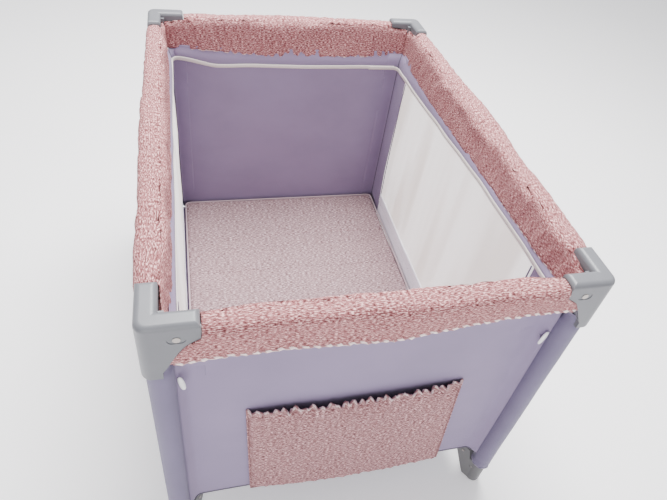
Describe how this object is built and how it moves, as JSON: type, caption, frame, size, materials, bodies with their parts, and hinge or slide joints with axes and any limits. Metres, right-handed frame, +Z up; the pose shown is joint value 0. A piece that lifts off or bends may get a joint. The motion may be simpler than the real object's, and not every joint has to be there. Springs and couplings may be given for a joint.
{
  "type": "playpen",
  "caption": "Folding rectangular playpen with padded top rails, mesh side windows, fabric walls, an outside pocket and a padded floor.",
  "frame": {"origin": "middle of the footprint, on the floor that the feet stand on", "axes": "+X is the width to the right, +Y the length away from the pocket end, +Z up"},
  "size_m": [0.76, 1.05, 0.76],
  "materials": {
    "leg_steel": "satin",
    "corner_plastic": "matte",
    "latch_plastic": "matte",
    "button_plastic": "satin",
    "rivet_steel": "brushed",
    "toggle_plastic": "gloss",
    "shell_fabric": "woven",
    "rail_fabric": "melange",
    "mattress_fabric": "melange",
    "mesh_fabric": "mesh"
  },
  "bodies": {
    "post_front_left": {"leg_front_left": "leg_steel", "corner_bracket_front_left": "corner_plastic", "foot_front_left": "corner_plastic", "corner_pins_front_left": "rivet_steel", "front_wall": "shell_fabric", "front_pocket": "rail_fabric", "toggle_left": "toggle_plastic"},
    "bar_front_left": {"cross_bar_front_left": "leg_steel"},
    "post_front_right": {"leg_front_right": "leg_steel", "corner_bracket_front_right": "corner_plastic", "foot_front_right": "corner_plastic", "corner_pins_front_right": "rivet_steel", "right_wall": "shell_fabric", "mesh_window_right": "mesh_fabric", "toggle_right": "toggle_plastic"},
    "bar_front_right": {"cross_bar_front_right": "leg_steel"},
    "post_back_right": {"leg_back_right": "leg_steel", "corner_bracket_back_right": "corner_plastic", "foot_back_right": "corner_plastic", "corner_pins_back_right": "rivet_steel", "back_wall": "shell_fabric"},
    "bar_back_right": {"cross_bar_back_right": "leg_steel"},
    "post_back_left": {"leg_back_left": "leg_steel", "corner_bracket_back_left": "corner_plastic", "foot_back_left": "corner_plastic", "corner_pins_back_left": "rivet_steel", "left_wall": "shell_fabric", "mesh_window_left": "mesh_fabric"},
    "bar_back_left": {"cross_bar_back_left": "leg_steel"},
    "hub_body": {"hub": "corner_plastic", "hub_pins": "rivet_steel", "floor_cloth": "shell_fabric"},
    "half_rail_front_left": {"rail_front_left": "leg_steel", "rail_cover_front_left": "rail_fabric"},
    "latch_front": {"latch_housing_front": "latch_plastic"},
    "button_front": {"latch_button_front": "button_plastic"},
    "half_rail_left_front": {"rail_left_front": "leg_steel", "rail_cover_left_front": "rail_fabric"},
    "half_rail_front_right": {"rail_front_right": "leg_steel", "rail_cover_front_right": "rail_fabric"},
    "half_rail_right_front": {"rail_right_front": "leg_steel", "rail_cover_right_front": "rail_fabric"},
    "latch_right": {"latch_housing_right": "latch_plastic"},
    "button_right": {"latch_button_right": "button_plastic"},
    "half_rail_back_right": {"rail_back_right": "leg_steel", "rail_cover_back_right": "rail_fabric"},
    "latch_back": {"latch_housing_back": "latch_plastic"},
    "button_back": {"latch_button_back": "button_plastic"},
    "half_rail_right_back": {"rail_right_back": "leg_steel", "rail_cover_right_back": "rail_fabric"},
    "half_rail_back_left": {"rail_back_left": "leg_steel", "rail_cover_back_left": "rail_fabric"},
    "half_rail_left_back": {"rail_left_back": "leg_steel", "rail_cover_left_back": "rail_fabric"},
    "latch_left": {"latch_housing_left": "latch_plastic"},
    "button_left": {"latch_button_left": "button_plastic"},
    "mattress_2": {"mattress_panel_2": "mattress_fabric"},
    "mattress_1": {"mattress_panel_1": "mattress_fabric"},
    "mattress_3": {"mattress_panel_3": "mattress_fabric"},
    "mattress_4": {"mattress_panel_4": "mattress_fabric"}
  },
  "joints": [
    {"name": "fold", "type": "hinge", "parent": "post_front_left", "child": "bar_front_left", "pos_m": [-0.32895, -0.46331, 0.088], "axis": [0.8154, -0.5789, 0], "range_deg": [0, 84], "deforming": ["front_wall", "front_pocket", "right_wall", "mesh_window_right", "back_wall", "left_wall", "mesh_window_left", "rail_cover_front_left", "rail_cover_left_front", "rail_cover_front_right", "rail_cover_right_front", "rail_cover_back_right", "rail_cover_right_back", "rail_cover_back_left", "rail_cover_left_back", "floor_cloth", "mattress_panel_1", "mattress_panel_2", "mattress_panel_3", "mattress_panel_4"]},
    {"name": "hub_turn", "type": "hinge", "parent": "bar_front_left", "child": "hub_body", "pos_m": [-0.02895, -0.04077, 0.088], "axis": [0.8154, -0.5789, 0], "range_deg": [-85, 1]},
    {"name": "hub_bar_front_right", "type": "hinge", "parent": "hub_body", "child": "bar_front_right", "pos_m": [0.02895, -0.04077, 0.088], "axis": [0.8154, 0.5789, 0], "range_deg": [-1, 85]},
    {"name": "post_turn_front_right", "type": "hinge", "parent": "bar_front_right", "child": "post_front_right", "pos_m": [0.32895, -0.46331, 0.088], "axis": [0.8154, 0.5789, 0], "range_deg": [-85, 1]},
    {"name": "hub_bar_back_right", "type": "hinge", "parent": "hub_body", "child": "bar_back_right", "pos_m": [0.02895, 0.04077, 0.088], "axis": [-0.8154, 0.5789, 0], "range_deg": [-1, 85]},
    {"name": "post_turn_back_right", "type": "hinge", "parent": "bar_back_right", "child": "post_back_right", "pos_m": [0.32895, 0.46331, 0.088], "axis": [-0.8154, 0.5789, 0], "range_deg": [-85, 1]},
    {"name": "hub_bar_back_left", "type": "hinge", "parent": "hub_body", "child": "bar_back_left", "pos_m": [-0.02895, 0.04077, 0.088], "axis": [-0.8154, -0.5789, 0], "range_deg": [-1, 85]},
    {"name": "post_turn_back_left", "type": "hinge", "parent": "bar_back_left", "child": "post_back_left", "pos_m": [-0.32895, 0.46331, 0.088], "axis": [-0.8154, -0.5789, 0], "range_deg": [-85, 1]},
    {"name": "rail_turn_front_left", "type": "hinge", "parent": "post_front_left", "child": "half_rail_front_left", "pos_m": [-0.325, -0.509, 0.73], "axis": [0, 1, 0], "range_deg": [-1, 85]},
    {"name": "latch_turn_front", "type": "hinge", "parent": "half_rail_front_left", "child": "latch_front", "pos_m": [-0.025, -0.509, 0.73], "axis": [0, 1, 0], "range_deg": [-85, 1]},
    {"name": "press_button_front", "type": "slide", "parent": "latch_front", "child": "button_front", "axis": [0, 0, 1], "range_m": [0, 0.004], "stiffness_N_per_m": 400, "springref_m": -0.002},
    {"name": "rail_turn_left_front", "type": "hinge", "parent": "post_front_left", "child": "half_rail_left_front", "pos_m": [-0.364, -0.44754, 0.73], "axis": [-1, 0, 0], "range_deg": [-1, 85]},
    {"name": "rail_turn_front_right", "type": "hinge", "parent": "post_front_right", "child": "half_rail_front_right", "pos_m": [0.325, -0.509, 0.73], "axis": [0, -1, 0], "range_deg": [-1, 85]},
    {"name": "rail_turn_right_front", "type": "hinge", "parent": "post_front_right", "child": "half_rail_right_front", "pos_m": [0.364, -0.44754, 0.73], "axis": [-1, 0, 0], "range_deg": [-1, 85]},
    {"name": "latch_turn_right", "type": "hinge", "parent": "half_rail_right_front", "child": "latch_right", "pos_m": [0.364, -0.025, 0.73], "axis": [-1, 0, 0], "range_deg": [-85, 1]},
    {"name": "press_button_right", "type": "slide", "parent": "latch_right", "child": "button_right", "axis": [0, 0, 1], "range_m": [0, 0.004], "stiffness_N_per_m": 400, "springref_m": -0.002},
    {"name": "rail_turn_back_right", "type": "hinge", "parent": "post_back_right", "child": "half_rail_back_right", "pos_m": [0.325, 0.509, 0.73], "axis": [0, -1, 0], "range_deg": [-1, 85]},
    {"name": "latch_turn_back", "type": "hinge", "parent": "half_rail_back_right", "child": "latch_back", "pos_m": [0.025, 0.509, 0.73], "axis": [0, -1, 0], "range_deg": [-85, 1]},
    {"name": "press_button_back", "type": "slide", "parent": "latch_back", "child": "button_back", "axis": [0, 0, 1], "range_m": [0, 0.004], "stiffness_N_per_m": 400, "springref_m": -0.002},
    {"name": "rail_turn_right_back", "type": "hinge", "parent": "post_back_right", "child": "half_rail_right_back", "pos_m": [0.364, 0.44754, 0.73], "axis": [1, 0, 0], "range_deg": [-1, 85]},
    {"name": "rail_turn_back_left", "type": "hinge", "parent": "post_back_left", "child": "half_rail_back_left", "pos_m": [-0.325, 0.509, 0.73], "axis": [0, 1, 0], "range_deg": [-1, 85]},
    {"name": "rail_turn_left_back", "type": "hinge", "parent": "post_back_left", "child": "half_rail_left_back", "pos_m": [-0.364, 0.44754, 0.73], "axis": [1, 0, 0], "range_deg": [-1, 85]},
    {"name": "latch_turn_left", "type": "hinge", "parent": "half_rail_left_back", "child": "latch_left", "pos_m": [-0.364, 0.025, 0.73], "axis": [1, 0, 0], "range_deg": [-85, 1]},
    {"name": "press_button_left", "type": "slide", "parent": "latch_left", "child": "button_left", "axis": [0, 0, 1], "range_m": [0, 0.004], "stiffness_N_per_m": 400, "springref_m": -0.002},
    {"name": "mattress_lift", "type": "slide", "parent": "hub_body", "child": "mattress_2", "axis": [0, 0, 1], "range_m": [-0.001, 0.23]},
    {"name": "mattress_fold_1", "type": "hinge", "parent": "mattress_2", "child": "mattress_1", "pos_m": [0, -0.2325, 0.142], "axis": [1, 0, 0], "range_deg": [-181, 1]},
    {"name": "mattress_fold_3", "type": "hinge", "parent": "mattress_2", "child": "mattress_3", "pos_m": [0, 0, 0.112], "axis": [1, 0, 0], "range_deg": [-181, 1]},
    {"name": "mattress_fold_4", "type": "hinge", "parent": "mattress_3", "child": "mattress_4", "pos_m": [0, 0.2325, 0.142], "axis": [1, 0, 0], "range_deg": [-1, 181]}
  ],
  "couplings": [
    {"joint": "hub_turn", "follows": "fold", "ratio": -1},
    {"joint": "hub_bar_front_right", "follows": "fold", "ratio": 1},
    {"joint": "post_turn_front_right", "follows": "fold", "ratio": -1},
    {"joint": "hub_bar_back_right", "follows": "fold", "ratio": 1},
    {"joint": "post_turn_back_right", "follows": "fold", "ratio": -1},
    {"joint": "hub_bar_back_left", "follows": "fold", "ratio": 1},
    {"joint": "post_turn_back_left", "follows": "fold", "ratio": -1},
    {"joint": "rail_turn_front_left", "follows": "fold", "ratio": 1},
    {"joint": "latch_turn_front", "follows": "fold", "ratio": -1},
    {"joint": "rail_turn_left_front", "follows": "fold", "ratio": 1},
    {"joint": "rail_turn_front_right", "follows": "fold", "ratio": 1},
    {"joint": "rail_turn_right_front", "follows": "fold", "ratio": 1},
    {"joint": "latch_turn_right", "follows": "fold", "ratio": -1},
    {"joint": "rail_turn_back_right", "follows": "fold", "ratio": 1},
    {"joint": "latch_turn_back", "follows": "fold", "ratio": -1},
    {"joint": "rail_turn_right_back", "follows": "fold", "ratio": 1},
    {"joint": "rail_turn_back_left", "follows": "fold", "ratio": 1},
    {"joint": "rail_turn_left_back", "follows": "fold", "ratio": 1},
    {"joint": "latch_turn_left", "follows": "fold", "ratio": -1},
    {"joint": "mattress_lift", "follows": "fold", "m_per_rad": 0.15006},
    {"joint": "mattress_fold_1", "follows": "fold", "ratio": -2.1429},
    {"joint": "mattress_fold_3", "follows": "fold", "ratio": -2.1429},
    {"joint": "mattress_fold_4", "follows": "fold", "ratio": 2.1429}
  ]
}
